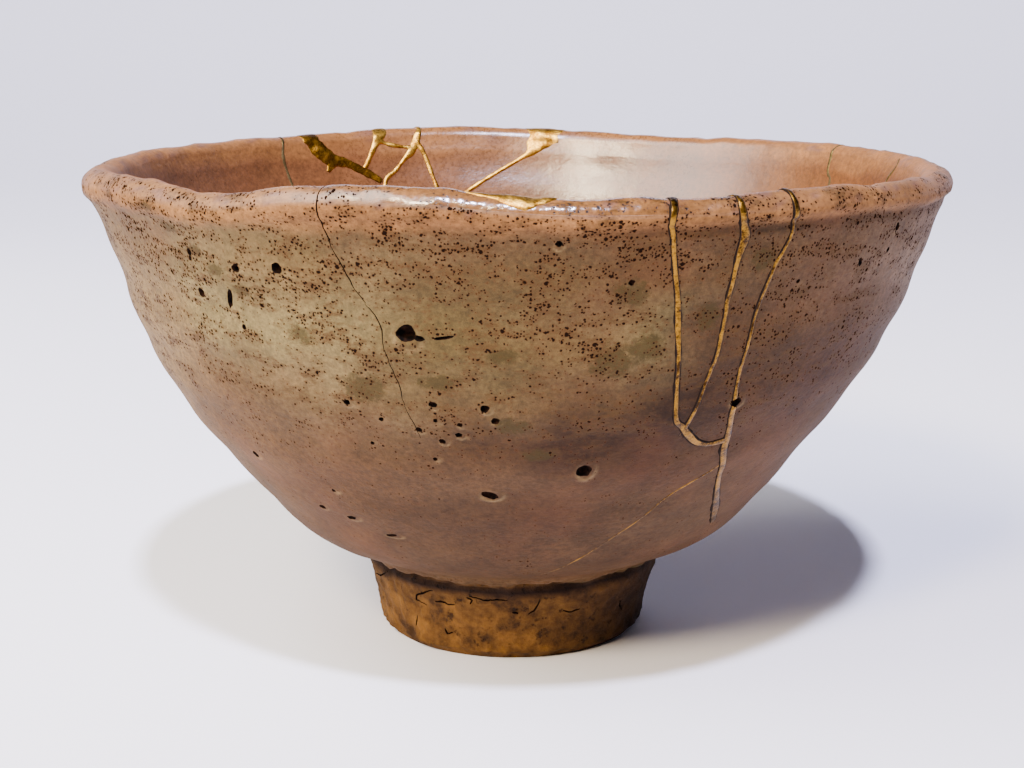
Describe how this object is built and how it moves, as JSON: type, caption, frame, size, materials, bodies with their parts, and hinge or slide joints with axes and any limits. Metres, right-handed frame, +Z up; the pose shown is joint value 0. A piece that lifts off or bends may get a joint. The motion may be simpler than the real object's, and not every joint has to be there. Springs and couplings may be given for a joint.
{
  "type": "kintsugi tea bowl",
  "caption": "Wheel-thrown stoneware tea bowl with a flared thick lip and a foot ring, broken and joined again with gold lacquer seams and fills.",
  "frame": {"origin": "under the middle of the bowl, on the surface that the foot stands on", "axes": "+Z up out of the mouth, -Y towards the viewer of the picture, +X to the right"},
  "size_m": [0.1497, 0.1504, 0.087],
  "materials": {
    "glazed_stoneware": "crackled semi-gloss buff glaze with pinholes",
    "gold_lacquer": "gold powder on lacquer, satin",
    "dark_gold_lacquer": "thin gold powder on dark lacquer, satin",
    "dull_lacquer": "worn gold on lacquer, dull"
  },
  "bodies": {
    "root": {"bowl_body": "glazed_stoneware", "sherd_front_left": "glazed_stoneware", "sherd_front_right": "glazed_stoneware", "sherd_back_far_left": "glazed_stoneware", "sherd_back_rim": "glazed_stoneware", "sherd_back_left": "glazed_stoneware", "sherd_back_middle": "glazed_stoneware", "sherd_back_right": "glazed_stoneware", "gold_seam_front": "gold_lacquer", "gold_seam_back": "gold_lacquer", "gold_patch_back": "dark_gold_lacquer", "gold_chip_front": "gold_lacquer", "lacquer_seam_left": "dull_lacquer", "lacquer_seam_right": "dull_lacquer", "lacquer_seam_side": "dull_lacquer"}
  },
  "joints": []
}
